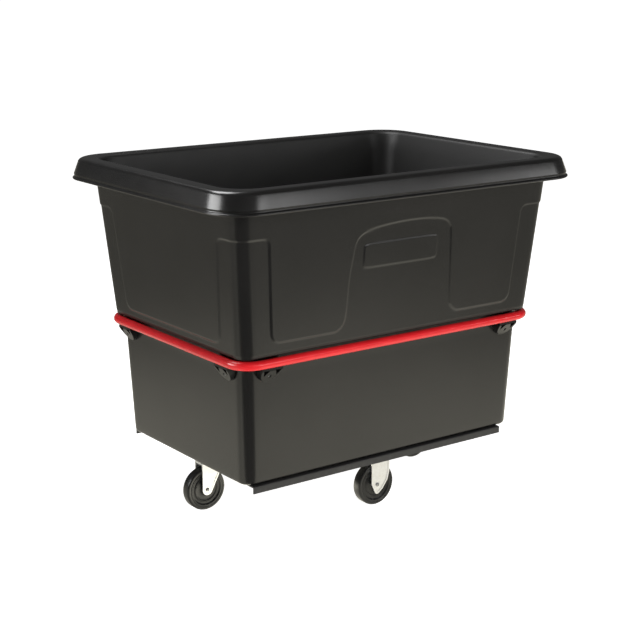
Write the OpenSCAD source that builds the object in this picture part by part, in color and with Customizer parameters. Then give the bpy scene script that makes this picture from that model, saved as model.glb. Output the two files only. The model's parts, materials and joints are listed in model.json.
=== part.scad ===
// Moulded bulk waste truck: a tapered plastic tub with a stepped lower half, a round bumper tube under
// the step, and a steel frame on two swivel casters (at the ends) and two rigid ones (at the sides).
// Millimetres. X runs along the tub, Y across it, Z up from the ground below the tub's centre.

/* [Tub] */
// Overall length over the rim's bead
tub_length = 1220; // [1100:10:1400]
// Overall width over the rim's bead
tub_width = 900; // [800:10:1000]
// Height of the rim's top above the ground
rim_height = 985; // [900:5:1050]
// Height of the tub's underside above the ground
floor_height = 168; // [160:1:180]
// Height of the step between the lower and the upper half
step_height = 526; // [500:1:560]
// Thickness of the moulded wall
wall = 5.5; // [4:0.5:7]
// Plan radius of the tub's corners, outside
body_corner = 40; // [30:1:45]
// Outward slope of the upper half's walls, per millimetre of height
upper_slope = 0.082; // [0.06:0.002:0.1]
// Outward slope of the lower half's walls, per millimetre of height
lower_slope = 0.042; // [0.02:0.002:0.06]
// How far the step stands out over the lower half at the two ends
step_end = 18; // [16:1:24]
// How far the step stands out over the lower half at the two long sides
step_side = 24; // [20:1:28]

/* [Rim] */
// How far the rim's bead stands out from the wall below it
rim_overhang = 67; // [60:1:75]
// Height of the rim's rolled edge
rim_depth = 60; // [50:1:70]
// Plan radius of the rim's bead at the corners
rim_corner = 108; // [90:1:120]
// Plan radius of the rim's inner edge at the corners
mouth_corner = 75; // [60:1:85]

/* [Bumper tube] */
// Outside diameter of the tube
tube_diameter = 25; // [22:1:28]
// Wall of the tube
tube_wall = 2; // [1.5:0.5:3]
// Bend radius of the tube's centreline
tube_bend = 60; // [50:1:70]
// Width of a tube clip
clip_width = 66; // [50:1:66]

/* [Frame] */
// Length of a side rail
rail_length = 889; // [800:1:900]
// How far the rails sit towards the left end
rail_shift = 12.5; // [0:0.5:15]
// Width of a rail's flat flange
rail_flange = 57; // [50:1:60]
// Height of a rail, with its hanging lip
rail_drop = 20; // [12:1:24]
// Thickness of the frame's steel
frame_plate = 4; // [3:0.5:5]

/* [Casters] */
// Wheel diameter
wheel_diameter = 125; // [115:1:125]
// Width of the wheel's tread
wheel_width = 30; // [24:1:30]
// Distance of a swivel caster's kingpin from the centre, along X
kingpin_offset = 386.5; // [370:0.5:390]
// How far a swivel caster's wheel trails its kingpin
swivel_trail = 31.5; // [25:0.5:35]
// Distance of a rigid caster from the centre, along Y
rigid_offset = 254; // [240:1:256]
// How far a rigid caster's wheel sits to the left of its mounting plate's middle
rigid_trail = 11.5; // [0:0.5:14]

/* [Hidden] */
$fn = 64;

// A gap between neighbours that only rest on each other, and a hair of overshoot for cuts.
gap = 0.3;
over = 1;

// Colours.
black_plastic = [0.13, 0.13, 0.125];
black_paint = [0.10, 0.10, 0.10];
red_paint = [0.85, 0.12, 0.13];
zinc = [0.82, 0.82, 0.78];
dark_rubber = [0.08, 0.08, 0.08];

// --- Tub: rounded rectangles stacked from the underside, up the outside, over the rim, down the inside.
bead_radius = 3.5;
bead_z = rim_height - rim_depth + bead_radius;
// Half sizes of the outside of the wall, [along X, along Y], at height z.
function upper_half(z) = let (grow = -rim_overhang - upper_slope * (bead_z - z))
    [tub_length / 2 + grow, tub_width / 2 + grow];
function lower_half(z) = let (grow = -lower_slope * (step_height - z))
    upper_half(step_height) + [grow - step_end, grow - step_side];

arc_steps = 4;
function arc(centre, radius, from, to) =
    [for (i = [0 : arc_steps]) let (t = from + (to - from) * i / arc_steps)
        centre + radius * [cos(t), sin(t)]];

// A ring: [half sizes, corner radius, z]. Offsets are outwards from the wall's outside.
function upper_ring(out, corner, z) = [upper_half(z) + [out, out], corner, z];
function lower_ring(out, corner, z) = [lower_half(z) + [out, out], corner, z];

foot_radius = 10;
ledge_radius = 14;
inner_radius = 12;
lower_corner = body_corner - 4;
inner_corner = 48;

// The rim's section, [out from the wall's outside at the bead's height, height], from under the top,
// down inside the skirt, round the bead, up the skirt and over the top to the mouth's edge.
crest = 14;
skirt_lean = 10;
edge_radius = 12;
rim_fillet = 5;
crest_centre = [rim_overhang - skirt_lean - crest - bead_radius, rim_height - crest];
wall_grow = upper_slope * (rim_height - edge_radius - bead_z);
rim_under = concat(
    [[wall_grow, rim_height - wall - rim_fillet], [wall_grow + rim_fillet, rim_height - wall]],
    arc(crest_centre, crest - wall, 90, 10),
    [[rim_overhang - wall - bead_radius, rim_height - rim_depth]]);
rim_over = concat(
    arc([rim_overhang - bead_radius, bead_z], bead_radius, -90, 90),
    arc([rim_overhang - 2 * bead_radius, bead_z + 3.4 * bead_radius], bead_radius, -50, 10),
    arc(crest_centre, crest, 10, 90),
    arc([wall_grow - wall + edge_radius, rim_height - edge_radius], edge_radius, 90, 170));
// A rim ring's corner radius grows evenly from the start radius at the wall to the bead's.
function rim_ring(p, start) =
    let (share = max(0, p[0] + wall) / (rim_overhang + wall))
        [upper_half(bead_z) + [p[0], p[0]], start + (rim_corner - start) * share, p[1]];

tub_rings = concat(
    [for (t = [0 : 22.5 : 90]) lower_ring(-foot_radius * (1 - sin(t)),
        lower_corner - foot_radius * (1 - sin(t)), floor_height + foot_radius * (1 - cos(t)))],
    [lower_ring(0, lower_corner, step_height)],
    [for (t = [0 : 22.5 : 90]) upper_ring(-ledge_radius * (1 - sin(t)),
        body_corner - ledge_radius * (1 - sin(t)), step_height + ledge_radius * (1 - cos(t)))],
    [for (p = rim_under) rim_ring(p, body_corner)],
    [for (p = rim_over) rim_ring(p, mouth_corner)],
    [upper_ring(-wall, inner_corner + 12, rim_height - rim_depth),
     upper_ring(-wall, inner_corner, step_height + ledge_radius + 3),
     upper_ring(-wall - 6, inner_corner - 2, step_height + wall + 2),
     lower_ring(-wall, inner_corner - 4, step_height + wall - 2)],
    [for (t = [90 : -30 : 0]) lower_ring(-wall - inner_radius * (1 - sin(t)),
        inner_corner - 4 - inner_radius * (1 - sin(t)),
        floor_height + wall + inner_radius * (1 - cos(t)))]);

corner_steps = 8;
function ring_points(r) = [for (q = [0 : 3], i = [0 : corner_steps])
    let (sx = [1, -1, -1, 1][q], sy = [1, 1, -1, -1][q], t = 90 * (q + i / corner_steps))
        [sx * (r[0][0] - r[1]) + r[1] * cos(t), sy * (r[0][1] - r[1]) + r[1] * sin(t), r[2]]];
per_ring = 4 * (corner_steps + 1);

module loft(rings) {
    last = (len(rings) - 1) * per_ring;
    polyhedron(
        points = [for (r = rings) each ring_points(r)],
        faces = concat(
            [[for (i = [0 : per_ring - 1]) i]],
            [for (k = [0 : len(rings) - 2], i = [0 : per_ring - 1])
                let (a = k * per_ring + i, b = k * per_ring + (i + 1) % per_ring)
                    [a, a + per_ring, b + per_ring, b]],
            [[for (i = [per_ring - 1 : -1 : 0]) last + i]]));
}

// --- Places that repeat.
plate_top = floor_height;
plate_low = plate_top - frame_plate;
caster_top = plate_low;
caster_plate = 4;
swivel_holes = [76, 60];
rigid_holes = [84, 44];
function rectangle(centre, size) = [for (sx = [-1, 1], sy = [-1, 1])
    centre + [sx * size[0] / 2, sy * size[1] / 2]];
caster_stud_places = concat(
    [for (s = [-1, 1]) each rectangle([s * kingpin_offset, 0], swivel_holes)],
    [for (s = [-1, 1]) each rectangle([rigid_trail, s * rigid_offset], rigid_holes)]);
rail_half = rail_length / 2;
rail_inner = lower_half(floor_height)[1] + 8 - rail_flange;
rail_bolt_y = rail_inner + 20;
frame_bolt_places = [for (x = [-1, -0.4, 0.4, 1], s = [-1, 1])
    [x * (rail_half - 36) - rail_shift, s * rail_bolt_y]];

// Clip places: [angle of the outward side, place along that side, tube's distance from the wall].
tube_z = step_height - tube_diameter / 2;
tube_half = upper_half(step_height) + [1.8, 1.8];
clip_end = tube_bend + clip_width / 2;
wall_half = lower_half(tube_z);
clip_places = [
    [180, tube_half[0] - clip_end, 1], [180, -tube_half[0] + clip_end, 1],
    [0, -tube_half[0] + clip_end, 1], [0, tube_half[0] - clip_end, 1],
    [90, -tube_half[1] + clip_end, 0], [90, tube_half[1] - clip_end, 0],
    [-90, tube_half[1] - clip_end, 0], [-90, -tube_half[1] + clip_end, 0]];
// Moves a child, drawn with its back on the wall and facing +Y, to clip place i.
module at_clip(i)
    rotate([0, 0, clip_places[i][0]])
        translate([clip_places[i][1], wall_half[clip_places[i][2]], 0]) children();

clip_screw_z = step_height - 50;
screw_radius = 1.75;
screw_hole = 1.95;
bolt_radius = 4;
bolt_hole = 4.5;
bolt_fit = 0.05;

// The floor has a low boss over each frame bolt, with a threaded insert moulded into it from below.
inside_floor = floor_height + wall;
boss_radius = 14;
boss_height = 6;
insert_radius = 7;
insert_length = 9;

module tub() color(black_plastic) difference() {
    union() {
        loft(tub_rings);
        for (p = frame_bolt_places) translate([p[0], p[1], inside_floor - over])
            cylinder(r1 = boss_radius, r2 = boss_radius - 1, h = boss_height + over, $fn = 32);
    }
    for (p = frame_bolt_places) translate([p[0], p[1], floor_height - over])
        cylinder(r = insert_radius + bolt_fit, h = insert_length + gap + over, $fn = 32);
    for (i = [0 : 7]) at_clip(i)
        translate([0, 2, clip_screw_z]) rotate([90, 0, 0]) cylinder(r = screw_hole, h = 18, $fn = 16);
}

// --- Bumper tube: four straight lengths and four bends, hollow.
module tube_ring(radius) translate([0, 0, tube_z]) {
    straight = tube_half - [tube_bend, tube_bend];
    for (s = [-1, 1]) {
        translate([-straight[0], s * tube_half[1], 0]) rotate([0, 90, 0])
            cylinder(r = radius, h = 2 * straight[0]);
        translate([s * tube_half[0], straight[1], 0]) rotate([90, 0, 0])
            cylinder(r = radius, h = 2 * straight[1]);
    }
    for (q = [0 : 3]) translate([[1, -1, -1, 1][q] * straight[0], [1, 1, -1, -1][q] * straight[1], 0])
        rotate([0, 0, 90 * q]) rotate_extrude(angle = 90) translate([tube_bend, 0]) circle(r = radius);
}

module bumper_tube() color(red_paint) difference() {
    tube_ring(tube_diameter / 2);
    tube_ring(tube_diameter / 2 - tube_wall);
}

// --- Tube clips, with a seat for the tube, a tab with a screw, and a pocket on each side of the tab.
clip_low = step_height - 68;
clip_top = step_height - 3;
clip_shelf = tube_z - tube_diameter / 2 - 1;
clip_seat = 10;
clip_back = 4;
clip_floor = 4.5;
screw_head = 3.6;
screw_head_height = 2.4;
// Corners of a pocket: [distance from the clip's middle, distance below its shelf].
clip_pocket = [[9, 4], [28, 4], [20, 22]];
function wall_lean(z) = lower_slope * (z - tube_z) + gap;

// Front view of a clip: straight sides down to its cup, then half an ellipse.
clip_cup = clip_shelf - 3;
module clip_outline() translate([0, 0, clip_cup]) rotate([-90, 0, 0]) linear_extrude(60) {
    scale([clip_width / 2, clip_cup - clip_low]) circle(r = 1, $fn = 48);
    translate([-clip_width / 2, clip_cup - clip_top]) square([clip_width, clip_top - clip_cup]);
}

module clip(i) color(black_plastic) at_clip(i) {
    seat = tube_half[clip_places[i][2]] - wall_half[clip_places[i][2]];
    difference() {
        intersection() {
            translate([-clip_width / 2, 0, 0]) rotate([90, 0, 90]) linear_extrude(clip_width)
                polygon([[wall_lean(clip_low), clip_low], [wall_lean(clip_top), clip_top],
                    [seat - tube_diameter / 2 + 3, clip_top], [seat - tube_diameter / 2 + 3, tube_z],
                    [seat + 6, clip_shelf + 3], [seat + 6, clip_shelf - 6], [6, clip_low + 4],
                    [4, clip_low]]);
            clip_outline();
        }
        translate([-clip_width / 2 - over, seat, tube_z]) rotate([0, 90, 0])
            cylinder(r = tube_diameter / 2 + gap, h = clip_width + 2 * over);
        for (s = [-1, 1]) translate([0, clip_floor, 0]) rotate([-90, 0, 0]) linear_extrude(40)
            polygon([for (p = clip_pocket) [s * p[0], p[1] - clip_shelf]]);
        translate([0, clip_seat, clip_screw_z]) rotate([-90, 0, 0]) cylinder(r = screw_head + 1, h = 30);
        translate([0, -clip_back, clip_screw_z]) rotate([-90, 0, 0]) cylinder(r = screw_hole, h = 30);
    }
}
module clip_front_left() clip(0);
module clip_front_right() clip(1);
module clip_rear_left() clip(2);
module clip_rear_right() clip(3);
module clip_left_front() clip(4);
module clip_left_rear() clip(5);
module clip_right_front() clip(6);
module clip_right_rear() clip(7);

washer_thickness = 1.5;
screw_washer = 8;
screw_nut = 3;
screw_end = 7;
inner_face = wall + 2.6;
// A screw through every clip and the tub's wall; its washer and nut are inside the tub.
module clip_screws() color(zinc) for (i = [0 : 7]) at_clip(i)
    translate([0, 0, clip_screw_z]) rotate([90, 0, 0]) {
        translate([0, 0, -clip_seat - screw_head_height]) cylinder(r = screw_head, h = screw_head_height);
        translate([0, 0, -clip_seat - over])
            cylinder(r = screw_radius, h = clip_seat + inner_face + screw_end);
    }
module clip_washers() color(zinc) for (i = [0 : 7]) at_clip(i)
    translate([0, -inner_face, clip_screw_z]) rotate([90, 0, 0]) difference() {
        cylinder(r = screw_washer, h = washer_thickness);
        translate([0, 0, -over]) cylinder(r = screw_hole, h = washer_thickness + 2 * over);
    }
module clip_nuts() color(zinc) for (i = [0 : 7]) at_clip(i)
    translate([0, -inner_face - washer_thickness, clip_screw_z]) rotate([90, 0, 0]) difference() {
        cylinder(r = 4, h = screw_nut, $fn = 6);
        translate([0, 0, -over]) cylinder(r = screw_radius + bolt_fit, h = screw_nut + 2 * over);
    }

// --- Frame: two side rails with a hanging lip, a plate across each end and one across the middle.
module frame_holes(places, radius) for (p = places) translate([p[0], p[1], plate_low - over])
    cylinder(r = radius, h = frame_plate + 2 * over);

module rail(s) color(black_paint) difference() {
    outer = rail_inner + rail_flange;
    translate([-rail_half - rail_shift, 0, 0]) rotate([90, 0, 90]) linear_extrude(rail_length)
        polygon([for (p = [[rail_inner, plate_top], each arc([outer - frame_plate, plate_low],
            frame_plate, 90, 0), [outer, plate_top - rail_drop],
            [outer - frame_plate, plate_top - rail_drop], [outer - frame_plate, plate_low],
            [rail_inner, plate_low]]) [s * p[0], p[1]]]);
    frame_holes(caster_stud_places, bolt_radius + bolt_fit);
    frame_holes(frame_bolt_places, bolt_hole);
}
module rail_front() rail(-1);
module rail_rear() rail(1);

end_plate_outer = lower_half(floor_height)[0] - 22;
plate_half = 58;
end_plate_inner = kingpin_offset - plate_half;
module cross_plate(from, to) color(black_paint) difference() {
    translate([from, -rail_inner, plate_low]) cube([to - from, 2 * rail_inner, frame_plate]);
    frame_holes(caster_stud_places, bolt_radius + bolt_fit);
}
module end_plate_left() cross_plate(-end_plate_outer, -end_plate_inner);
module end_plate_right() cross_plate(end_plate_inner, end_plate_outer);
module centre_plate() cross_plate(rigid_trail - plate_half, rigid_trail + plate_half);

// --- Fixings. Bolts through the rails hold the tub by its inserts; studs in the frame hold the casters.
bolt_head = 5.5;
nut_across = 7.5;
nut_deep = 6.5;
frame_washer = 12;
caster_washer = 9;
module at_places(places, z) for (p = places) translate([p[0], p[1], z]) children();
module ring(outer, inner, h) difference() {
    cylinder(r = outer, h = h);
    translate([0, 0, -over]) cylinder(r = inner, h = h + 2 * over);
}
module hex_nut() difference() {
    cylinder(r = nut_across, h = nut_deep, $fn = 6);
    translate([0, 0, -over]) cylinder(r = bolt_radius + bolt_fit, h = nut_deep + 2 * over);
}
module frame_bolts() color(zinc) at_places(frame_bolt_places, plate_low - washer_thickness) {
    translate([0, 0, -bolt_head]) cylinder(r = nut_across, h = bolt_head, $fn = 6);
    translate([0, 0, -over]) cylinder(r = bolt_radius, h = washer_thickness + frame_plate + insert_length);
}
module frame_washers() color(zinc) at_places(frame_bolt_places, plate_low - washer_thickness)
    ring(frame_washer, bolt_hole, washer_thickness);
module frame_inserts() color(zinc) at_places(frame_bolt_places, floor_height + gap)
    ring(insert_radius, bolt_radius + bolt_fit, insert_length - gap);
stud_washer_z = plate_low - caster_plate - washer_thickness;
stud_end = stud_washer_z - nut_deep - 3;
module caster_studs() color(zinc) at_places(caster_stud_places, stud_end)
    cylinder(r = bolt_radius, h = plate_top - gap - stud_end);
module caster_washers() color(zinc) at_places(caster_stud_places, stud_washer_z)
    ring(caster_washer, bolt_hole, washer_thickness);
module caster_nuts() color(zinc) at_places(caster_stud_places, stud_washer_z - nut_deep) hex_nut();

// --- Casters. Each is drawn at its own origin: the kingpin's axis, or the rigid caster's centre.
wheel_radius = wheel_diameter / 2;
hub_half = wheel_width / 2 + 1.5;
fork_gap = hub_half + 0.5;
leg_thickness = 3;
fork_outer = fork_gap + leg_thickness;
caster_low = caster_top - caster_plate;
crown_top = caster_low - 18;
crown_plate = 4;
crown_low = crown_top - crown_plate;
race_radius = 22;
ball_radius = 3;
ball_z = (caster_low + crown_top) / 2;
race_clear = 0.15;
race_gap = 1.2;
race_bore = race_radius - 8;
crown_radius = race_radius + 10;
swivel_plate_size = [104, 84];
rigid_plate_size = [104, 66];
ball_count = 16;
kingpin_radius = 6;
running_fit = 0.06;
left_place = [-kingpin_offset, 0, 0];
right_place = [kingpin_offset, 0, 0];
front_place = [0, -rigid_offset, 0];
rear_place = [0, rigid_offset, 0];

// Groove for the balls, cut into both races.
module ball_groove() translate([0, 0, ball_z]) rotate_extrude()
    translate([race_radius, 0]) circle(r = ball_radius + race_clear, $fn = 32);

module race(low, high, outer) difference() {
    translate([0, 0, low]) cylinder(r = outer, h = high - low);
    translate([0, 0, low - over]) cylinder(r = race_bore, h = high - low + 2 * over);
    ball_groove();
}

// A caster's mounting plate with its four holes, about a point at centre_x.
module mounting_plate(centre_x, size, holes) translate([centre_x, 0, caster_low]) difference() {
    translate([-size[0] / 2, -size[1] / 2, 0]) cube([size[0], size[1], caster_plate]);
    for (p = rectangle([0, 0], holes)) translate([p[0], p[1], -over])
        cylinder(r = bolt_hole, h = caster_plate + 2 * over);
}

kingpin_head = 2.9;
kingpin_sink = 2;
module swivel_plate() color(zinc) difference() {
    union() {
        mounting_plate(0, swivel_plate_size, swivel_holes);
        translate([0, 0, ball_z + race_gap])
            cylinder(r = race_radius + 5, h = caster_low - ball_z - race_gap + over);
    }
    translate([0, 0, ball_z]) cylinder(r = race_bore, h = caster_low - ball_z - 2);
    ball_groove();
    translate([0, 0, ball_z]) cylinder(r = kingpin_radius + running_fit, h = 30);
    translate([0, 0, plate_low - kingpin_sink]) cylinder(r = kingpin_radius + 3, h = kingpin_sink + over);
}
module raceway_seal() color(dark_rubber) translate([0, 0, crown_top + 1]) difference() {
    cylinder(r = crown_radius, h = caster_low - crown_top - 1.2);
    translate([0, 0, -over]) cylinder(r = race_radius + 7, h = caster_low - crown_top + 2);
}
nut_height = 7;
module kingpin() color(zinc) {
    translate([0, 0, crown_low - nut_height - 1])
        cylinder(r = kingpin_radius, h = plate_low - 0.1 - crown_low + nut_height + 1);
    translate([0, 0, plate_low - kingpin_sink])
        cylinder(r = kingpin_radius + kingpin_head, h = kingpin_sink - 0.1);
}
module kingpin_nut() color(zinc) translate([0, 0, crown_low - nut_height - gap]) difference() {
    cylinder(r = 10.5, h = nut_height, $fn = 6);
    translate([0, 0, -over]) cylinder(r = kingpin_radius + 0.02, h = nut_height + 2 * over);
}
module swivel_balls() color(zinc) for (i = [0 : ball_count - 1]) rotate([0, 0, 360 * i / ball_count])
    translate([race_radius, 0, ball_z]) sphere(r = ball_radius, $fn = 32);

// A fork leg's outline, seen from the side, about the axle: a round foot and some corners above it.
swivel_foot = 16;
rigid_foot = 9.5;
rigid_foot_place = [-0.5, -18.5];
leg_top = crown_top - wheel_radius;
rigid_top = caster_low + over - wheel_radius;
swivel_right = 60;
rigid_left = -21;
rigid_right = 43.5;
swivel_corners = [[-swivel_foot, 0], [-swivel_foot, leg_top], [swivel_right, leg_top]];
rigid_corners = [[rigid_left, rigid_top], [rigid_left, 4], [19, -15], [36, 8], [43, 33],
    [rigid_right, rigid_top]];
module leg_outline(place, radius, corners) hull() {
    translate(place) circle(r = radius);
    polygon(corners);
}
// Both legs, with a raised band along their outer edges; axle_x is the axle's place along X.
band_width = 5;
band_height = 1;
module legs(axle_x) for (s = [-1, 1]) translate([axle_x, 0, wheel_radius]) {
    translate([0, s * (fork_gap + leg_thickness / 2) + leg_thickness / 2, 0]) rotate([90, 0, 0])
        linear_extrude(leg_thickness) children();
    translate([0, s * (fork_outer + band_height / 2) + band_height / 2, 0]) rotate([90, 0, 0])
        linear_extrude(band_height) difference() {
            children();
            offset(delta = -band_width) children();
        }
}
module axle_hole(axle_x) translate([axle_x, 30, wheel_radius]) rotate([90, 0, 0])
    cylinder(r = bolt_radius + 0.1, h = 60);

module swivel_fork() color(zinc) difference() {
    union() {
        legs(-swivel_trail) leg_outline([0, 0], swivel_foot, swivel_corners);
        translate([-swivel_foot - swivel_trail, -fork_outer, crown_low])
            cube([swivel_foot + swivel_right, 2 * fork_outer, crown_plate]);
        translate([0, 0, crown_low]) cylinder(r = crown_radius, h = crown_plate);
        race(crown_low, ball_z - race_gap, race_radius + 6);
    }
    translate([0, 0, crown_low - over]) cylinder(r = kingpin_radius + running_fit, h = 20);
    axle_hole(-swivel_trail);
}
module rigid_fork() color(zinc) difference() {
    union() {
        mounting_plate(rigid_trail, rigid_plate_size, rigid_holes);
        legs(0) leg_outline(rigid_foot_place, rigid_foot, rigid_corners);
        translate([rigid_left, -fork_outer, caster_low - leg_thickness])
            cube([rigid_right - rigid_left, 2 * fork_outer, leg_thickness + over]);
    }
    axle_hole(0);
}

// A wheel: rounded tread, dished sides with a raised ring, and a hub that is a little wider.
sleeve_radius = 8;
module wheel(axle_x) color(dark_rubber) translate([axle_x, 0, wheel_radius]) rotate([90, 0, 0])
    rotate_extrude($fn = 96) wheel_half_section();
tread_round = 5;
dish = 3.5;
module wheel_half_section() {
    half = wheel_width / 2;
    bore = sleeve_radius + running_fit;
    rim = wheel_radius - 16;
    translate([bore, -hub_half]) square([18 - bore, 2 * hub_half]);
    translate([bore, -half + dish]) square([rim + 4 - bore, wheel_width - 2 * dish]);
    translate([rim, -half + tread_round]) square([wheel_radius - rim, wheel_width - 2 * tread_round]);
    translate([rim, -half]) square([wheel_radius - rim - tread_round, wheel_width]);
    for (s = [-1, 1]) {
        translate([wheel_radius - tread_round, s * (half - tread_round)]) circle(r = tread_round);
        translate([rim - 10, s * (half - dish)]) circle(r = 2, $fn = 24);
    }
}
module axle_sleeve(axle_x) color(zinc) translate([axle_x, fork_gap - 0.05, wheel_radius])
    rotate([90, 0, 0]) difference() {
        cylinder(r = sleeve_radius, h = 2 * fork_gap - 0.1);
        translate([0, 0, -over]) cylinder(r = bolt_radius + 0.1, h = 2 * fork_gap + 2 * over);
    }
axle_across = 7;
axle_head = 4.5;
axle_end = nut_deep + 1.5;
module axle_bolt(axle_x) color(zinc) translate([axle_x, 0, wheel_radius]) rotate([90, 0, 0]) {
    translate([0, 0, fork_outer]) cylinder(r = axle_across, h = axle_head, $fn = 6);
    translate([0, 0, -fork_outer - axle_end])
        cylinder(r = bolt_radius, h = 2 * fork_outer + axle_end + over);
}
module axle_nut(axle_x) color(zinc) translate([axle_x, fork_outer + nut_deep, wheel_radius])
    rotate([90, 0, 0]) difference() {
        cylinder(r = axle_across, h = nut_deep, $fn = 6);
        translate([0, 0, -over]) cylinder(r = bolt_radius + bolt_fit, h = nut_deep + 2 * over);
    }

module caster_plate_left() translate(left_place) swivel_plate();
module caster_plate_right() translate(right_place) swivel_plate();
module raceway_seal_left() translate(left_place) raceway_seal();
module raceway_seal_right() translate(right_place) raceway_seal();
module kingpin_left() translate(left_place) kingpin();
module kingpin_right() translate(right_place) kingpin();
module kingpin_nut_left() translate(left_place) kingpin_nut();
module kingpin_nut_right() translate(right_place) kingpin_nut();
module swivel_balls_left() translate(left_place) swivel_balls();
module swivel_balls_right() translate(right_place) swivel_balls();
module fork_left() translate(left_place) swivel_fork();
module fork_right() translate(right_place) swivel_fork();
module fork_front() translate(front_place) rigid_fork();
module fork_rear() translate(rear_place) rigid_fork();
module wheel_left() translate(left_place) wheel(-swivel_trail);
module wheel_right() translate(right_place) wheel(-swivel_trail);
module wheel_front() translate(front_place) wheel(0);
module wheel_rear() translate(rear_place) wheel(0);
module axle_sleeve_left() translate(left_place) axle_sleeve(-swivel_trail);
module axle_sleeve_right() translate(right_place) axle_sleeve(-swivel_trail);
module axle_sleeve_front() translate(front_place) axle_sleeve(0);
module axle_sleeve_rear() translate(rear_place) axle_sleeve(0);
module axle_bolt_left() translate(left_place) axle_bolt(-swivel_trail);
module axle_bolt_right() translate(right_place) axle_bolt(-swivel_trail);
module axle_bolt_front() translate(front_place) axle_bolt(0);
module axle_bolt_rear() translate(rear_place) axle_bolt(0);
module axle_nut_left() translate(left_place) axle_nut(-swivel_trail);
module axle_nut_right() translate(right_place) axle_nut(-swivel_trail);
module axle_nut_front() translate(front_place) axle_nut(0);
module axle_nut_rear() translate(rear_place) axle_nut(0);

tub();
bumper_tube();
clip_front_left();
clip_front_right();
clip_rear_left();
clip_rear_right();
clip_left_front();
clip_left_rear();
clip_right_front();
clip_right_rear();
clip_screws();
clip_washers();
clip_nuts();
rail_front();
rail_rear();
end_plate_left();
end_plate_right();
centre_plate();
frame_bolts();
frame_washers();
frame_inserts();
caster_studs();
caster_washers();
caster_nuts();
caster_plate_left();
raceway_seal_left();
kingpin_left();
kingpin_nut_left();
swivel_balls_left();
caster_plate_right();
raceway_seal_right();
kingpin_right();
kingpin_nut_right();
swivel_balls_right();
fork_left();
wheel_left();
axle_sleeve_left();
axle_bolt_left();
axle_nut_left();
fork_right();
wheel_right();
axle_sleeve_right();
axle_bolt_right();
axle_nut_right();
fork_front();
wheel_front();
axle_sleeve_front();
axle_bolt_front();
axle_nut_front();
fork_rear();
wheel_rear();
axle_sleeve_rear();
axle_bolt_rear();
axle_nut_rear();
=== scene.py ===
"""A bulk waste truck: a moulded tub with a bumper tube under its step, on a steel frame with four casters.

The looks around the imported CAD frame. Metres, +Z up, X along the tub, Y across it.
"""

import json
import math

import bmesh
import bpy
import numpy as np
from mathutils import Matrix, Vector


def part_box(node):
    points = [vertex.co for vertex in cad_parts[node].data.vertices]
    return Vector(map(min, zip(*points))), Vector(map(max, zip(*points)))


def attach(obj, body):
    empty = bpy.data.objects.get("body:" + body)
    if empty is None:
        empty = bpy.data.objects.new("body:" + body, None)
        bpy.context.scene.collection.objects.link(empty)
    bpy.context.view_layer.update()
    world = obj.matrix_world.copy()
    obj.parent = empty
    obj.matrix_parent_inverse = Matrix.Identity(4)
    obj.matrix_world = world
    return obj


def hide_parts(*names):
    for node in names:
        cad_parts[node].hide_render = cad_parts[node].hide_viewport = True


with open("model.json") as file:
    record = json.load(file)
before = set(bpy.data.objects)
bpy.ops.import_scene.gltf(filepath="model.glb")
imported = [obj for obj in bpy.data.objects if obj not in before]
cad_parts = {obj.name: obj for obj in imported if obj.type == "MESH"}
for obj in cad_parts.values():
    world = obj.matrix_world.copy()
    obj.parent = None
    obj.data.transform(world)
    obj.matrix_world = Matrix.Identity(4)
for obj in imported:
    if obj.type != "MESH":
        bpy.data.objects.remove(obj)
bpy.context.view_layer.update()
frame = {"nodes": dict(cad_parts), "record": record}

MM = 0.001
BODY_OF = {n: body for body, members in frame["record"]["behaviour"]["bodies"].items() for n in members}

# --- Camera: the angle it looks along, the point it looks at and how far it stands from it.
CAMERA_AZIMUTH = -36.21
CAMERA_PITCH = 14.04
CAMERA_TARGET = (-0.0078, -0.0043, 0.4991)
CAMERA_DISTANCE = 4.35
CAMERA_LENS = 82.72

# --- Tub: what the frame doesn't give of its section, as in the CAD model.
WALL = 5.5 * MM
BODY_CORNER = 40 * MM
LOWER_CORNER = 36 * MM
INNER_CORNER = 48 * MM
RIM_CORNER = 108 * MM
MOUTH_CORNER = 75 * MM
UPPER_SLOPE = 0.082
LOWER_SLOPE = 0.042
STEP_OUT = np.array((18, 24)) * MM
FOOT_RADIUS = 10 * MM
LEDGE_RADIUS = 14 * MM
STEP_FILLET = 4 * MM
FLOOR_RADIUS = 12 * MM
RIM_OVERHANG = 67 * MM
RIM_DEPTH = 60 * MM
BEAD_RADIUS = 3.5 * MM
CREST = 14 * MM
SKIRT_LEAN = 10 * MM
EDGE_RADIUS = 12 * MM
RIM_FILLET = 5 * MM
# How far below the rim's top the plain outer wall ends.
WALL_TOP = 20 * MM

tub_low, tub_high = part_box("tub")
RIM_TOP = tub_high.z
FLOOR = tub_low.z
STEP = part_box("bumper_tube")[1].z
BEAD_Z = RIM_TOP - RIM_DEPTH + BEAD_RADIUS

# --- Pressed relief of the upper walls: sunk corners, a sunk strip over the step, a sunk arch on each side.
RELIEF_DEPTH = 2.6 * MM
RELIEF_EDGE = 5 * MM
CORNER_TOP = 0.849
CORNER_TOP_RADIUS = 0.020
PANEL_FOOT_RADIUS = 0.028
# Height of the sunk strip's top, on a long side and on an end.
STRIP_TOP = (0.565, 0.557)
# Where a sunk corner starts, at the strip's height, and how much it leans outwards with height.
SIDE_PANEL = (0.418, 0.074)
END_PANEL = (0.248, 0.106)
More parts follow.
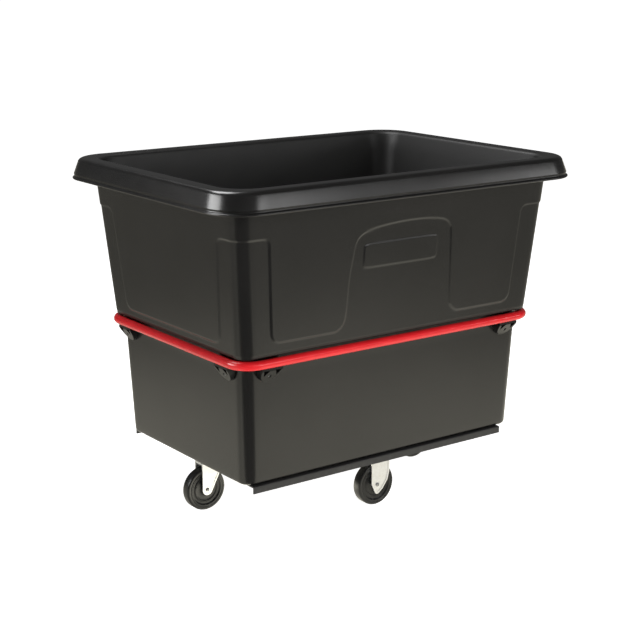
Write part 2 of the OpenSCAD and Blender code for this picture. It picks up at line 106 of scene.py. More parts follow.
# The arch's outline on a long side: [along the side, height], joined by a smooth curve.
ARCH = [(-0.300, 0.545), (-0.258, 0.555), (-0.213, 0.564), (-0.187, 0.582), (-0.178, 0.615), (-0.1765, 0.654),
        (-0.174, 0.698), (-0.170, 0.735), (-0.164, 0.770), (-0.158, 0.800), (-0.147, 0.819), (-0.124, 0.832),
        (-0.084, 0.842), (-0.002, 0.849), (0.076, 0.849), (0.131, 0.843), (0.157, 0.835), (0.171, 0.820),
        (0.176, 0.800), (0.182, 0.703), (0.189, 0.602), (0.196, 0.582), (0.213, 0.568), (0.240, 0.558),
        (0.290, 0.545)]
# A plain raised pad in the middle of the arch: centre, half size and corner radius.
PAD = ((0.0, 0.765), (0.128, 0.033), 0.012)
PAD_DEPTH = 1.7 * MM

# --- Floor bosses: where they stand along the row, as a share of its half length, and their size.
BOSS_ROW = (-1.0, -0.4, 0.4, 1.0)
BOSS_RADIUS = 14 * MM
BOSS_HEIGHT = 6 * MM
INSERT_RADIUS = 7 * MM

# Edges of the CAD pieces that turn by more than this, in degrees, are rounded.
SHARP_ANGLE = 32


# ---------------------------------------------------------------- mesh helpers
def new_object(name, mesh, node_name, slot):
    """Links a smooth mesh as a piece that stands for a CAD node, riding on that node's body."""
    piece = bpy.data.objects.new(name, mesh)
    bpy.context.scene.collection.objects.link(piece)
    mesh.materials.append(MATERIALS[slot])
    mesh.polygons.foreach_set("use_smooth", [True] * len(mesh.polygons))
    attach(piece, BODY_OF[node_name])
    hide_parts(node_name)
    return piece


def mesh_of(name, points, faces):
    mesh = bpy.data.meshes.new(name)
    mesh.from_pydata([tuple(p) for p in points], [], faces)
    mesh.update()
    return mesh


def arc(centre, radius, start, end, steps):
    """Points on an arc, from a start to an end angle in degrees."""
    angles = np.radians(np.linspace(start, end, steps + 1))
    return [(centre[0] + radius * math.cos(a), centre[1] + radius * math.sin(a)) for a in angles]


def graded(stops, steps):
    """Numbers from the first stop to the last, with each stretch cut at about its own step."""
    values = [stops[0]]
    for low, high, step in zip(stops, stops[1:], steps):
        count = max(1, round((high - low) / step))
        values += [low + (high - low) * (i + 1) / count for i in range(count)]
    return values


def smooth_curve(points, steps=8):
    """A Catmull-Rom curve through the points."""
    p = np.array([points[0]] + list(points) + [points[-1]])
    curve = []
    for i in range(1, len(p) - 2):
        for t in np.linspace(0, 1, steps, endpoint=False):
            curve.append(0.5 * (2 * p[i] + (p[i + 1] - p[i - 1]) * t
                                + (2 * p[i - 1] - 5 * p[i] + 4 * p[i + 1] - p[i + 2]) * t ** 2
                                + (3 * p[i] - p[i - 1] - 3 * p[i + 1] + p[i + 2]) * t ** 3))
    return np.array(curve + [p[-1]])


def lathe(name, profile, centre, segments=96):
    """A ring of rings: the profile's (radius, along Y) turned about the Y axis through the centre."""
    points, faces = [], []
    n = len(profile)
    for i in range(segments):
        a = 2 * math.pi * i / segments
        for r, y in profile:
            points.append((centre[0] + r * math.cos(a), centre[1] + y, centre[2] + r * math.sin(a)))
    for i in range(segments):
        j = (i + 1) % segments
        for k in range(n):
            m = (k + 1) % n
            faces.append((i * n + k, i * n + m, j * n + m, j * n + k))
    return mesh_of(name, points, faces)


def rounded_copy(node_name, slot, width, segments=3):
    """The CAD node's own shape with its edges rounded, as a rolled, pressed or moulded edge is."""
    bm = bmesh.new()
    bm.from_mesh(frame["nodes"][node_name].data)
    bmesh.ops.remove_doubles(bm, verts=bm.verts, dist=0.02 * MM)
    bmesh.ops.dissolve_limit(bm, angle_limit=math.radians(1.0), verts=bm.verts, edges=bm.edges)
    bmesh.ops.recalc_face_normals(bm, faces=bm.faces)
    points = [v.co.copy() for v in bm.verts]
    faces = [[v.index for v in f.verts] for f in bm.faces]
    bm.free()
    piece = new_object(node_name + "_finish", mesh_of(node_name, points, faces), node_name, slot)
    bevel = piece.modifiers.new("rounded", "BEVEL")
    bevel.width = width
    bevel.segments = segments
    bevel.limit_method = "ANGLE"
    bevel.angle_limit = math.radians(SHARP_ANGLE)
    bevel.harden_normals = True
    piece.modifiers.new("shading", "WEIGHTED_NORMAL").keep_sharp = True


# ---------------------------------------------------------------- materials
def shader_node(tree, kind, sockets=None, **settings):
    made = tree.nodes.new(kind)
    for key, value in settings.items():
        setattr(made, key, value)
    for key, value in (sockets or {}).items():
        if isinstance(value, bpy.types.NodeSocket):
            tree.links.new(value, made.inputs[key])
        else:
            made.inputs[key].default_value = value
    return made


def grey(value, warm=0.0):
    """A near-neutral colour; a positive warm leans it to red and away from blue."""
    return (value * (1 + warm), value, value * (1 - warm), 1.0)


class Surface:
    """One procedural material: a principled shader with helpers for noise, mixing, wear and bump."""

    def __init__(self, name, **constants):
        self.material = bpy.data.materials.new(name)
        self.material.use_nodes = True
        self.tree = self.material.node_tree
        self.shader = self.tree.nodes["Principled BSDF"]
        for key, value in constants.items():
            self.shader.inputs[key.replace("_", " ")].default_value = value
        self.place = shader_node(self.tree, "ShaderNodeTexCoord").outputs["Object"]

    def stretched(self, scale):
        return shader_node(self.tree, "ShaderNodeMapping", {"Vector": self.place, "Scale": scale}).outputs[0]

    def noise(self, scale, detail=3.0, roughness=0.55, place=None, distortion=0.0):
        return shader_node(self.tree, "ShaderNodeTexNoise", {
            "Vector": place or self.place, "Scale": scale, "Detail": detail,
            "Roughness": roughness, "Distortion": distortion}).outputs["Fac"]

    def cells(self, scale):
        return shader_node(self.tree, "ShaderNodeTexVoronoi",
                           {"Vector": self.place, "Scale": scale}).outputs["Distance"]

    def ranged(self, value, low, high, to_low=0.0, to_high=1.0):
        return shader_node(self.tree, "ShaderNodeMapRange", {
            "Value": value, "From Min": low, "From Max": high,
            "To Min": to_low, "To Max": to_high}, interpolation_type="SMOOTHSTEP").outputs[0]

    def mix(self, share, first, second):
        made = shader_node(self.tree, "ShaderNodeMix", {"Factor": share}, data_type="RGBA")
        for socket, value in ((made.inputs[6], first), (made.inputs[7], second)):
            if isinstance(value, bpy.types.NodeSocket):
                self.tree.links.new(value, socket)
            else:
                socket.default_value = value
        return made.outputs[2]

    def times(self, first, second):
        return shader_node(self.tree, "ShaderNodeMath", {0: first, 1: second},
                           operation="MULTIPLY").outputs[0]

    def added(self, first, second):
        return shader_node(self.tree, "ShaderNodeMath", {0: first, 1: second}, operation="ADD").outputs[0]

    def edges(self, low, high):
        """1 on sharp convex edges, 0 on flats."""
        found = shader_node(self.tree, "ShaderNodeNewGeometry").outputs["Pointiness"]
        return self.ranged(found, low, high)

    def set(self, socket, value):
        self.tree.links.new(value, self.shader.inputs[socket])

    def bump(self, *layers):
        """Layers of (height, depth in metres)."""
        normal = None
        for height, depth in layers:
            sockets = {"Height": height, "Distance": depth, "Strength": 1.0}
            if normal is not None:
                sockets["Normal"] = normal
            normal = shader_node(self.tree, "ShaderNodeBump", sockets).outputs[0]
        self.set("Normal", normal)


def facing_inwards(s):
    """1 on walls that face the tub's middle, 0 elsewhere."""
    level = shader_node(s.tree, "ShaderNodeVectorMath", {0: s.place, 1: (1.0, 1.0, 0.0)},
                        operation="MULTIPLY").outputs[0]
    normal = shader_node(s.tree, "ShaderNodeNewGeometry").outputs["Normal"]
    return s.ranged(shader_node(s.tree, "ShaderNodeVectorMath", {0: level, 1: normal},
                                operation="DOT_PRODUCT").outputs["Value"], -0.25, -0.05, 1.0, 0.0)


def moulded_plastic(name, level, rough, grain=1100.0, gloss=0.5, inside=0.0):
    """Black moulded polyethylene: fine grain, faint cloudiness, rubbed edges and a few scuffs."""
    s = Surface(name, Specular_IOR_Level=gloss)
    cloud = s.noise(3.2, 4.0)
    fine = s.noise(grain, 2.0)
    colour = s.mix(s.ranged(cloud, 0.3, 0.7), grey(level * 0.88, 0.03), grey(level * 1.14, 0.05))
    scuffs = s.times(s.ranged(s.noise(26.0, 6.0, 0.7, s.stretched((1.0, 1.0, 5.0)), 0.6), 0.64, 0.80),
                     s.ranged(s.noise(5.0, 2.0), 0.48, 0.62))
    colour = s.mix(s.times(scuffs, 0.30), colour, grey(level * 1.8, 0.03))
    colour = s.mix(s.times(s.edges(0.52, 0.60), 0.30), colour, grey(level * 2.4, 0.03))
    s.set("Base Color", colour)
    waves = s.noise(9.0, 3.0)
    roughness = s.added(s.ranged(waves, 0.3, 0.7, rough - 0.015, rough + 0.02), s.times(scuffs, 0.06))
    s.set("Roughness", s.added(roughness, s.times(facing_inwards(s), inside)))
    s.bump((fine, 0.018 * MM), (s.noise(55.0, 2.0), 0.05 * MM))
    return s.material


def powder_coat(name, colour, dark_colour, rough, wear_colour, coat=0.0, wear=0.3):
    """Painted steel: orange peel, slight depth of colour and thin wear on the edges."""
    s = Surface(name, Specular_IOR_Level=0.35, Coat_Weight=coat, Coat_Roughness=0.08)
    tone = s.mix(s.ranged(s.noise(14.0, 4.0), 0.35, 0.68), dark_colour, colour)
    chips = s.ranged(s.noise(420.0, 4.0, 0.6), 0.60, 0.66)
    worn = s.times(s.edges(0.54, 0.62), s.ranged(s.noise(60.0, 3.0), 0.50, 0.62))
    s.set("Base Color", s.mix(s.times(s.added(worn, s.times(chips, 0.06)), wear), tone, wear_colour))
    s.set("Roughness", s.ranged(s.noise(30.0, 3.0), 0.3, 0.7, rough * 0.92, rough * 1.1))
    s.bump((s.noise(420.0, 1.0), 0.008 * MM))
    return s.material


def zinc_plate(name, level, rough):
    """Zinc plate: soft spangle, faint yellow passivation and fine rolling marks."""
    s = Surface(name, Metallic=0.85)
    spangle = s.ranged(s.cells(190.0), 0.1, 0.8)
    colour = s.mix(spangle, grey(level * 0.92), grey(level, -0.01))
    stain = s.times(s.ranged(s.noise(38.0, 4.0), 0.52, 0.72), 0.45)
    colour = s.mix(stain, colour, (level * 0.90, level * 0.86, level * 0.74, 1.0))
    s.set("Base Color", colour)
    marks = s.noise(900.0, 2.0, 0.5, s.stretched((1.0, 1.0, 0.06)))
    s.set("Roughness", s.added(s.ranged(marks, 0.3, 0.7, rough - 0.06, rough + 0.08), s.times(stain, 0.2)))
    s.bump((marks, 0.02 * MM), (spangle, 0.015 * MM))
    return s.material


def rubber(name, level, rough):
    """Hard black rubber: dusty, with fine grain."""
    s = Surface(name, Specular_IOR_Level=0.32)
    dust = s.ranged(s.noise(45.0, 5.0, 0.65), 0.46, 0.74)
    colour = s.mix(s.times(dust, 0.5), grey(level, 0.0), grey(level * 2.3, 0.05))
    s.set("Base Color", colour)
    s.set("Roughness", s.added(s.ranged(s.noise(20.0), 0.3, 0.7, rough - 0.05, rough + 0.05),
                               s.times(dust, 0.12)))
    s.bump((s.noise(1300.0, 2.0), 0.05 * MM), (s.noise(160.0, 2.0), 0.03 * MM))
    return s.material


def polished_steel(name):
    """Bearing balls: bright steel with faint handling marks."""
    s = Surface(name, Metallic=1.0)
    marks = s.noise(300.0, 3.0)
    s.set("Base Color", s.mix(marks, grey(0.62), grey(0.74)))
    s.set("Roughness", s.ranged(marks, 0.3, 0.7, 0.10, 0.22))
    return s.material


MATERIALS = {
    "tub_plastic": moulded_plastic("tub_plastic", 0.0075, 0.25, inside=0.25),
    "clip_plastic": moulded_plastic("clip_plastic", 0.0050, 0.36, 1500.0, 0.3),
    "red_paint": powder_coat("red_paint", (0.61, 0.013, 0.018, 1), (0.56, 0.010, 0.014, 1), 0.24,
                             (0.30, 0.02, 0.02, 1), 0.15),
    "frame_paint": powder_coat("frame_paint", grey(0.026, 0.02), grey(0.022), 0.42, grey(0.07, 0.04),
                               wear=0.2),
    "caster_zinc": zinc_plate("caster_zinc", 0.66, 0.38),
    "fastener_zinc": zinc_plate("fastener_zinc", 0.36, 0.36),
    "ball_steel": polished_steel("ball_steel"),
    "seal_rubber": rubber("seal_rubber", 0.018, 0.62),
    "wheel_rubber": rubber("wheel_rubber", 0.0075, 0.30),
}


# ---------------------------------------------------------------- tub
def upper_half(z):
    """Half sizes of the outside of the upper wall at height z."""
    grow = -RIM_OVERHANG - UPPER_SLOPE * (BEAD_Z - z)
    return np.array((tub_high.x + grow, tub_high.y + grow))


def lower_half(z):
    return upper_half(STEP) - STEP_OUT - LOWER_SLOPE * (STEP - z)


def upper_ring(out, corner, z):
    return (*(upper_half(z) + out), corner, z)


def lower_ring(out, corner, z):
    return (*(lower_half(z) + out), corner, z)


def rim_section():
    """The rim's section, [out from the wall at the bead's height, height]: under side, then over the top."""
    grow = UPPER_SLOPE * (RIM_TOP - EDGE_RADIUS - BEAD_Z)
    crest_centre = (RIM_OVERHANG - SKIRT_LEAN - CREST - BEAD_RADIUS, RIM_TOP - CREST)
    under = [(grow, RIM_TOP - WALL - RIM_FILLET), (grow + RIM_FILLET, RIM_TOP - WALL),
             *arc(crest_centre, CREST - WALL, 90, 10, 6),
             (RIM_OVERHANG - WALL - BEAD_RADIUS, RIM_TOP - RIM_DEPTH)]
    over = [*arc((RIM_OVERHANG - BEAD_RADIUS, BEAD_Z), BEAD_RADIUS, -90, 90, 10),
            *arc((RIM_OVERHANG - 2 * BEAD_RADIUS, BEAD_Z + 3.4 * BEAD_RADIUS), BEAD_RADIUS, -50, 10, 4),
            *arc(crest_centre, CREST, 10, 90, 10),
            *arc((grow - WALL + EDGE_RADIUS, RIM_TOP - EDGE_RADIUS), EDGE_RADIUS, 90, 170, 7)]
    return under, over


def rim_ring(point, start):
    """A ring through a point of the rim's section; its corner grows from the start radius to the bead's."""
    share = max(0, point[0] + WALL) / (RIM_OVERHANG + WALL)
    return (*(upper_half(BEAD_Z) + point[0]), start + (RIM_CORNER - start) * share, point[1])


def tub_rings():
    """The tub's rings, from under the floor, up the outside, over the rim and down the inside."""
    turn = np.radians(np.linspace(0, 90, 8))
    rings = [lower_ring(-FOOT_RADIUS * (1 - math.sin(t)), LOWER_CORNER - FOOT_RADIUS * (1 - math.sin(t)),
                        FLOOR + FOOT_RADIUS * (1 - math.cos(t))) for t in turn]
    start = STEP - STEP_FILLET
    rings += [lower_ring(0, LOWER_CORNER, z) for z in np.linspace(FLOOR + 0.03, start, 7)]
    rings += [lower_ring(STEP_FILLET * (1 - math.cos(t)), LOWER_CORNER + STEP_FILLET * (1 - math.cos(t)),
                         start + STEP_FILLET * math.sin(t)) for t in turn[2::2]]
    rings += [upper_ring(-LEDGE_RADIUS * (1 - math.sin(t)), BODY_CORNER - LEDGE_RADIUS * (1 - math.sin(t)),
                         STEP + LEDGE_RADIUS * (1 - math.cos(t))) for t in turn]
    heights = graded((STEP + LEDGE_RADIUS, 0.600, 0.724, 0.740, 0.790, 0.856, RIM_TOP - WALL_TOP),
                     (0.0027, 0.014, 0.0027, 0.012, 0.0027, 0.016))
    rings += [upper_ring(0, BODY_CORNER, z) for z in heights[1:]]
    under, over = rim_section()
    rings += [rim_ring(p, BODY_CORNER) for p in under] + [rim_ring(p, MOUTH_CORNER) for p in over]
    mouth = INNER_CORNER + 12 * MM
    skirt_foot = RIM_TOP - RIM_DEPTH
    inner_foot = STEP + LEDGE_RADIUS + 3 * MM
    for t in np.linspace(0, 1, 7):
        rings.append(upper_ring(-WALL, mouth + (INNER_CORNER - mouth) * t,
                                skirt_foot + (inner_foot - skirt_foot) * t))
    rings += [upper_ring(-WALL - 6 * MM, INNER_CORNER - 2 * MM, STEP + WALL + 2 * MM),
              lower_ring(-WALL, INNER_CORNER - 4 * MM, STEP + WALL - 2 * MM),
              lower_ring(-WALL, INNER_CORNER - 4 * MM, (STEP + FLOOR) / 2)]
    for t in turn[::-1]:
        inset = FLOOR_RADIUS * (1 - math.sin(t))
        rings.append(lower_ring(-WALL - inset, INNER_CORNER - 4 * MM - inset,
                                FLOOR + WALL + FLOOR_RADIUS * (1 - math.cos(t))))
    return np.array(rings)


def tub_columns():
    """Each column of the tub's grid: its side (0 front, 1 right, 2 rear, 3 left), share along the side's
    flat from -1 to 1, and turn round the corner that follows it, in radians (0 on the flat)."""
    long_half = graded((0, 0.25, 0.46, 0.83, 0.94, 1), (0.03, 0.0054, 0.03, 0.0054, 0.03))
    short_half = graded((0, 0.70, 0.86, 1), (0.045, 0.008, 0.04))
    corner = np.linspace(0, math.pi / 2, 13)[1:-1]
    columns = []
    for side in range(4):
        half = (long_half, short_half)[side % 2]
        flat = [-s for s in half[:0:-1]] + list(half)
        columns += [(side, s, 0) for s in flat] + [(side, 1, t) for t in corner]
    return np.array(columns)


def rounded_both(a, b, radius):
    """Distance to where both a and b are negative, with the corner between them rounded."""
    corner = np.hypot(np.maximum(a + radius, 0), np.maximum(b + radius, 0))
    return corner + np.minimum(np.maximum(a, b) + radius, 0) - radius


def rounded_either(a, b, radius):
    return -rounded_both(-a, -b, radius)


def outline_distance(u, z, outline):
    """Signed distance from points to a closed outline, negative inside it."""
    a = outline
    b = np.roll(outline, -1, axis=0)
    best = np.full(u.shape, 1e9)
    inside = np.zeros(u.shape, bool)
    for (ax, az), (bx, bz) in zip(a, b):
        ex, ez = bx - ax, bz - az
        t = np.clip(((u - ax) * ex + (z - az) * ez) / (ex * ex + ez * ez), 0, 1)
        best = np.minimum(best, np.hypot(u - ax - t * ex, z - az - t * ez))
        if ez:
            crossing = ((az <= z) & (z < bz)) | ((bz <= z) & (z < az))
            inside ^= crossing & (u < ax + (z - az) * ex / ez)
    return np.where(inside, -best, best)


def relief(side, u, z):
    """How far the wall is pressed in, for points u along a side at height z."""
    on_side = side % 2 == 0
    strip_top = np.where(on_side, *STRIP_TOP)
    start = np.where(on_side, SIDE_PANEL[0], END_PANEL[0])
    lean = np.where(on_side, SIDE_PANEL[1], END_PANEL[1])
    corner = rounded_both(start + lean * (z - strip_top) - np.abs(u), z - CORNER_TOP, CORNER_TOP_RADIUS)
    sunk = rounded_either(z - strip_top, corner, PANEL_FOOT_RADIUS)
    arch = outline_distance(u[on_side], z[on_side], smooth_curve(ARCH))
    sunk[on_side] = np.minimum(sunk[on_side], arch)
    depth = RELIEF_DEPTH * smooth_step(0.5 - sunk / RELIEF_EDGE)
    centre, half, radius = PAD
    pad = rounded_both(np.abs(u - centre[0]) - half[0], np.abs(z - centre[1]) - half[1], radius)
    return depth - np.where(on_side, PAD_DEPTH * smooth_step(0.5 - pad / RELIEF_EDGE), 0)


def smooth_step(t):
    t = np.clip(t, 0, 1)
    return t * t * (3 - 2 * t)


def tub_mesh():
    """A grid of rings and columns, with the relief pressed into the upper wall, and the floor's bosses."""
    rings, columns = tub_rings(), tub_columns()
    side = columns[:, 0].astype(int)[None, :]
    share, turn = columns[None, :, 1], columns[None, :, 2]
    hx, hy, radius, z = (rings[:, i][:, None] for i in range(4))
    half_along = np.where(side % 2 == 0, hx, hy) - radius
    half_out = np.where(side % 2 == 0, hy, hx)
    along = share * half_along + radius * np.sin(turn)
    out = half_out - radius * (1 - np.cos(turn))
    z = np.broadcast_to(z, along.shape)
    first = np.argmax(rings[:, 3] > STEP + LEDGE_RADIUS / 2)
    last = np.argmax(rings[:, 3] > RIM_TOP - WALL_TOP - 1 * MM)
    rows = slice(first, last + 1)
    past_corner = np.where(turn > 0, 1.0, 0.0) * radius[rows] * turn
    reach = (share * half_along)[rows] + past_corner
    pressed = relief(np.broadcast_to(side, reach.shape), reach, z[rows])
    along[rows] -= pressed * np.sin(turn)
    out[rows] -= pressed * np.cos(turn)
    angle = side * math.pi / 2
    x = along * np.cos(angle) + out * np.sin(angle)
    y = along * np.sin(angle) - out * np.cos(angle)
    points = np.stack([x, y, z], -1).reshape(-1, 3)
    n, m = along.shape
    index = np.arange(n * m).reshape(n, m)
    right = np.roll(index, -1, axis=1)
    quads = np.stack([index[:-1], right[:-1], right[1:], index[1:]], -1).reshape(-1, 4)
    faces = [list(index[0][::-1])] + [list(q) for q in quads.tolist()] + [list(index[-1])]
    boss_points, boss_faces = floor_bosses(len(points))
    return mesh_of("tub", list(points) + boss_points, faces + boss_faces)


def floor_bosses(first, around=32):
    """A low boss over each threaded insert in the floor, as closed rings numbered on from the first point."""
    low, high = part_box("frame_inserts")
    middle, reach = (low + high) / 2, (high - low) / 2 - Vector((INSERT_RADIUS, INSERT_RADIUS, 0))
    top, sunk = FLOOR + WALL + BOSS_HEIGHT, FLOOR + WALL / 2
    edge = 1.5 * MM
    profile = [(BOSS_RADIUS + edge, sunk), (BOSS_RADIUS + edge, FLOOR + WALL),
               *[(BOSS_RADIUS + edge * (1 - math.sin(t)), FLOOR + WALL + edge * (1 - math.cos(t)))
                 for t in np.radians((30, 60, 90))],
               *[(BOSS_RADIUS - 1 * MM - edge * (1 - math.cos(t)), top - edge * (1 - math.sin(t)))
                 for t in np.radians((0, 30, 60, 90))]]
    points, faces = [], []
    for x in BOSS_ROW:
        for y in (-1, 1):
            start = first + len(points)
            for radius, z in profile:
                points += [(middle.x + x * reach.x + radius * math.cos(a), middle.y + y * reach.y
                            + radius * math.sin(a), z) for a in np.linspace(0, 2 * math.pi, around + 1)[:-1]]
            for i in range(len(profile) - 1):
                for k in range(around):
                    m = (k + 1) % around
                    ring = start + i * around
                    faces.append([ring + k, ring + m, ring + around + m, ring + around + k])
            last = start + (len(profile) - 1) * around
            faces += [list(range(start, start + around))[::-1], list(range(last, last + around))]
    return points, faces


def make_tub():
    piece = new_object("tub_shell", tub_mesh(), "tub", "tub_plastic")
    for face in piece.data.polygons:
        face.use_smooth = len(face.vertices) == 4


# ---------------------------------------------------------------- bumper tube
TUBE_BEND = 60 * MM
BEND_STEPS = 14


def make_bumper_tube():
    """A closed ring of round tube: a bend at each corner, then the straight length to the next one."""
    low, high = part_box("bumper_tube")
    radius = (high.z - low.z) / 2
    half = (high.x - radius, high.y - radius)
    height = (high.z + low.z) / 2
    straight = np.array((half[0] - TUBE_BEND, half[1] - TUBE_BEND))
    corners = [straight * signs for signs in ((1, 1), (-1, 1), (-1, -1), (1, -1))]
    route = []
    for q, centre in enumerate(corners):
        route += [(p, math.radians(90 * q + 90 * i / BEND_STEPS)) for i, p in
                  enumerate(arc(centre, TUBE_BEND, 90 * q, 90 * q + 90, BEND_STEPS))]
        along, turn = route[-1]
        reach = corners[(q + 1) % 4] + TUBE_BEND * np.array((math.cos(turn), math.sin(turn)))
        route += [(tuple(np.array(along) + (reach - along) * t), turn) for t in np.linspace(0, 1, 8)[1:-1]]
    around = 32
    points, faces = [], []
    for (x, y), facing in route:
        for k in range(around):
            a = 2 * math.pi * k / around
            out, up = radius * math.cos(a), radius * math.sin(a)
            points.append((x + out * math.cos(facing), y + out * math.sin(facing), height + up))
    count = len(route)
    for i in range(count):
        j = (i + 1) % count
        for k in range(around):
            m = (k + 1) % around
            faces.append((i * around + k, j * around + k, j * around + m, i * around + m))
    new_object("bumper_tube_coat", mesh_of("bumper_tube", points, faces), "bumper_tube", "red_paint")


# ---------------------------------------------------------------- casters
HUB_BORE = 8.06 * MM
HUB_PROUD = 1.5 * MM
WEB_SUNK = 3.5 * MM
RIM_BAND = 16 * MM
TREAD_ROUND = 5 * MM
SHANK_RADIUS = 4 * MM
HEAD_HEIGHT = 4.5 * MM
HEAD_DOME = 3.4 * MM


def wheel_profile(radius, half, hub_half, bore):
    """A wheel's section, (radius, along the axle): hub, dished web, grooved side, shoulders and tread."""
    web = half - WEB_SUNK
    rim = radius - RIM_BAND
    side = [(bore, hub_half - 0.6 * MM), (bore + 0.6 * MM, hub_half), (16.6 * MM, hub_half),
            (17.8 * MM, hub_half - 1.2 * MM), (18.4 * MM, web + 1.2 * MM), (20.0 * MM, web)]
    side += [(rim - 13.5 * MM, web), *arc((rim - 10.5 * MM, web), 1.9 * MM, 160, 20, 5)]
    side += [(rim - 6 * MM, web - 0.4 * MM), (rim - 1.2 * MM, web), (rim, half - 1.4 * MM),
             (rim + 1.0 * MM, half - 0.3 * MM), (rim + 2.4 * MM, half), (rim + 4.4 * MM, half),
             (rim + 5.0 * MM, half - 0.8 * MM), (rim + 5.8 * MM, half - 0.8 * MM), (rim + 6.4 * MM, half)]
    side += arc((radius - TREAD_ROUND, half - TREAD_ROUND), TREAD_ROUND, 90, 8, 7)
    return side + [(radius, 0.0)] + [(r, -y) for r, y in side[::-1]]


def make_wheel(name):
    low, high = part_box("wheel_" + name)
    centre = (low + high) / 2
    radius = (high.z - low.z) / 2
    hub_half = (high.y - low.y) / 2
    profile = wheel_profile(radius, hub_half - HUB_PROUD, hub_half, HUB_BORE)
    new_object("wheel_tread_" + name, lathe("wheel", profile, centre), "wheel_" + name, "wheel_rubber")


def make_axle_bolt(name):
    """A dome-headed bolt with a socket; the shank goes through to the nut."""
    low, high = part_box("axle_bolt_" + name)
    x, z = (low.x + high.x) / 2, (low.z + high.z) / 2
    head, shank = (high.z - low.z) / 2, SHANK_RADIUS
    under, brim = low.y + HEAD_HEIGHT, low.y + HEAD_HEIGHT - 0.7 * MM
    profile = [(0.2 * MM, high.y), (shank - 0.8 * MM, high.y), (shank, high.y - 0.8 * MM),
               (shank, under), (head, under), (head, brim)]
    profile += [(head * math.cos(t), brim - HEAD_DOME * math.sin(t)) for t in np.radians((20, 38, 54))]
    profile += [(2.5 * MM, low.y + 0.45 * MM), (2.2 * MM, low.y + 0.7 * MM), (2.0 * MM, low.y + 2.6 * MM),
                (0.2 * MM, low.y + 2.8 * MM)]
    new_object("axle_head_" + name, lathe("axle_bolt", profile[::-1], (x, 0, z), 48), "axle_bolt_" + name,
               "fastener_zinc")


def make_casters():
    for name in ("left", "right", "front", "rear"):
        make_wheel(name)
        make_axle_bolt(name)
        rounded_copy("fork_" + name, "caster_zinc", 0.8 * MM)
        rounded_copy("axle_nut_" + name, "fastener_zinc", 0.5 * MM)
    for name in ("left", "right"):
        rounded_copy("caster_plate_" + name, "caster_zinc", 0.8 * MM)
        rounded_copy("raceway_seal_" + name, "seal_rubber", 0.8 * MM)
        rounded_copy("kingpin_nut_" + name, "fastener_zinc", 0.6 * MM)


def make_frame():
    """Rails and plates."""
    for name in ("rail_front", "rail_rear", "end_plate_left", "end_plate_right", "centre_plate"):
        rounded_copy(name, "frame_paint", 0.9 * MM)


def make_clips():
    for end, side in (("front", "left"), ("front", "right"), ("rear", "left"), ("rear", "right"),
                      ("left", "front"), ("left", "rear"), ("right", "front"), ("right", "rear")):
        rounded_copy(f"clip_{end}_{side}", "clip_plastic", 1.5 * MM, 4)


def finish_cad_nodes():
    """Every CAD node gets its slot's material; those that no piece replaces are shown with it."""
    for part in frame["record"]["subparts"]:
        materials = frame["nodes"][part["node"]].data.materials
        materials.clear()
        materials.append(MATERIALS[part["material_slot"]])


# ---------------------------------------------------------------- studio
# Directions on the room's floor, seen from the tub's near corner; how far out the floor is lit, and how
# bright it is near and far.
NEAR_CORNER = (-0.49, -0.36, 0.0)
DARK_SIDE = (-0.47, -0.88, 0.0)
LEFT_SIDE = (-0.42, 0.91, 0.0)
BACK_SIDE = (0.59, 0.81, 0.0)
LIT_REACH = (0.8, 2.5)
LIT_FLOOR = (1.38, 0.42)
# The floor's brightness towards the dark side, the left side and behind the object, as a share of that.
DARK_SHARE = 0.10
LEFT_SHARE = 0.66
BACK_SHARE = 3.0
ROOM_LIGHT = 0.09
# Half sizes in metres: the paper floor, the reflected floor and the backdrop, with the backdrop's height.
FLOOR_REACH = 90.0
REFLECTED_REACH = 30.0
BACKDROP_REACH = 60.0
BACKDROP_HEIGHT = 50.0
WARM_WHITE = (1.0, 0.96, 0.81, 1.0)


def square(half, height):
    return [(sx * half, sy * half, height) for sx, sy in ((-1, -1), (1, -1), (1, 1), (-1, 1))]


def stage_piece(name, corners, faces, material):
    piece = bpy.data.objects.new(name, mesh_of(name, corners, faces))
    bpy.context.scene.collection.objects.link(piece)
    piece.data.materials.append(material)
    return piece


def glowing_paper(name, glow, **constants):
    s = Surface(name, Emission_Strength=glow, **constants)
    s.set("Base Color", s.mix(s.noise(0.8), grey(0.86), grey(0.90)))
    s.shader.inputs["Emission Color"].default_value = (1, 1, 1, 1)
    return s.material


def make_floor():
    """White paper that glows a little, so its shadows stay light."""
    paper = glowing_paper("floor_paper", 0.98, Roughness=0.9)
    stage_piece("floor", square(FLOOR_REACH, 0.0), [(0, 1, 2, 3)], paper).visible_glossy = False


def make_backdrop():
    """White paper all round, far off, that only the eye sees."""
    paper = glowing_paper("backdrop_paper", 1.0, Roughness=1.0, Specular_IOR_Level=0.0)
    corners = square(BACKDROP_REACH, 0.0) + square(BACKDROP_REACH, BACKDROP_HEIGHT)
    walls = [(k, (k + 1) % 4, 4 + (k + 1) % 4, 4 + k) for k in range(4)]
    piece = stage_piece("backdrop", corners, walls, paper)
    piece.visible_glossy = piece.visible_diffuse = piece.visible_shadow = piece.visible_transmission = False


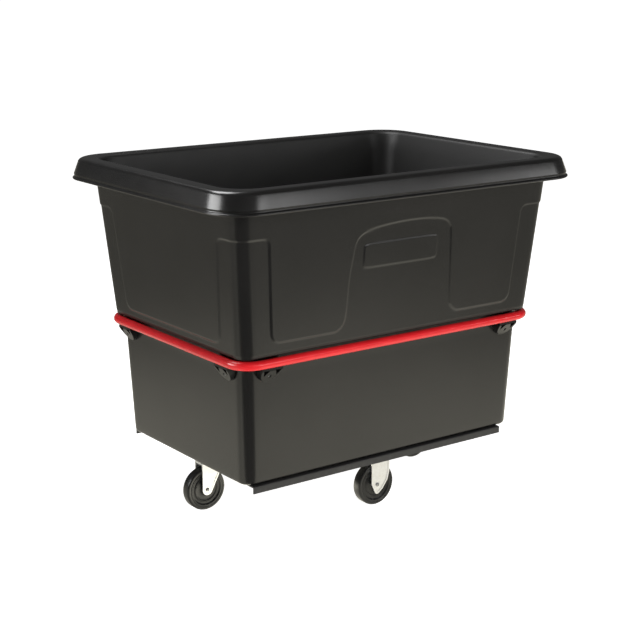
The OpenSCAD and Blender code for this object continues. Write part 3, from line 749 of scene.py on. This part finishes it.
def make_reflected_floor():
    """The floor that gloss sees: bright round the object, dimmer further out and on the room's dark side."""
    s = Surface("reflected_floor", Roughness=1.0, Specular_IOR_Level=0.0)
    reach = shader_node(s.tree, "ShaderNodeVectorMath", {0: s.place}, operation="LENGTH").outputs["Value"]
    away = shader_node(s.tree, "ShaderNodeVectorMath", {0: s.place, 1: NEAR_CORNER},
                       operation="SUBTRACT").outputs[0]
    heading = shader_node(s.tree, "ShaderNodeVectorMath", {0: away}, operation="NORMALIZE").outputs[0]

    def facing(side):
        return shader_node(s.tree, "ShaderNodeVectorMath", {0: heading, 1: side},
                           operation="DOT_PRODUCT").outputs["Value"]

    share = s.times(s.ranged(facing(DARK_SIDE), 0.42, 0.70, 1.0, DARK_SHARE),
                    s.ranged(facing(BACK_SIDE), 0.86, 0.97, 1.0, BACK_SHARE))
    share = s.times(share, s.ranged(facing(LEFT_SIDE), 0.45, 0.85, 1.0, LEFT_SHARE))
    s.set("Emission Strength", s.times(s.ranged(reach, *LIT_REACH, *LIT_FLOOR), share))
    s.shader.inputs["Emission Color"].default_value = WARM_WHITE
    s.set("Base Color", s.mix(s.noise(0.8), grey(0.0), grey(0.01)))
    card = stage_piece("reflected_floor", square(REFLECTED_REACH, -1.0 * MM), [(0, 1, 2, 3)], s.material)
    card.visible_camera = card.visible_diffuse = card.visible_shadow = card.visible_transmission = False


def soft_light(name, place, target, size, power, glossy=True, diffuse=True):
    """A rectangular lamp, facing its target; gloss or diffuse surfaces can be kept from seeing it."""
    lamp = bpy.data.lights.new(name, "AREA")
    lamp.shape = "RECTANGLE"
    lamp.size, lamp.size_y = size
    lamp.energy = power
    holder = bpy.data.objects.new(name, lamp)
    holder.location = place
    holder.rotation_euler = (Vector(target) - Vector(place)).to_track_quat("-Z", "Y").to_euler()
    holder.visible_glossy, holder.visible_diffuse = glossy, diffuse
    bpy.context.scene.collection.objects.link(holder)


def make_room():
    world = bpy.data.worlds.new("studio")
    world.use_nodes = True
    backdrop = world.node_tree.nodes["Background"]
    backdrop.inputs["Color"].default_value = (1, 1, 1, 1)
    backdrop.inputs["Strength"].default_value = ROOM_LIGHT
    bpy.context.scene.world = world


def make_studio():
    make_floor()
    make_backdrop()
    make_reflected_floor()
    make_room()
    soft_light("key", (-3.3, 0.9, 1.5), (0, 0, 0.8), (2.2, 1.3), 108, diffuse=False)
    soft_light("side", (1.2, -4.0, 1.6), (0, 0, 0.8), (1.6, 1.2), 32, diffuse=False)
    soft_light("end", (4.4, -4.1, 1.4), (0.5, -0.45, 0.95), (1.1, 1.2), 20, diffuse=False)
    soft_light("top", (-0.9, 1.2, 3.6), (0, 0, 0.5), (2.0, 1.6), 110)
    soft_light("fill", (-0.6, -3.6, 1.9), (0, 0, 0.6), (3.0, 2.0), 100, glossy=False)


def make_camera():
    """The photograph's view."""
    azimuth, pitch = math.radians(CAMERA_AZIMUTH), math.radians(CAMERA_PITCH)
    forward = Vector((-math.sin(azimuth) * math.cos(pitch), math.cos(azimuth) * math.cos(pitch),
                      -math.sin(pitch)))
    data = bpy.data.cameras.new("camera")
    data.sensor_width = 36.0
    data.lens = CAMERA_LENS
    camera = bpy.data.objects.new("camera", data)
    camera.location = Vector(CAMERA_TARGET) - CAMERA_DISTANCE * forward
    camera.rotation_euler = (math.pi / 2 - pitch, 0, azimuth)
    bpy.context.scene.collection.objects.link(camera)
    bpy.context.scene.camera = camera


make_camera()
make_studio()
make_tub()
make_bumper_tube()
make_clips()
make_frame()
make_casters()
finish_cad_nodes()
bpy.context.scene.view_settings.view_transform = "Standard"
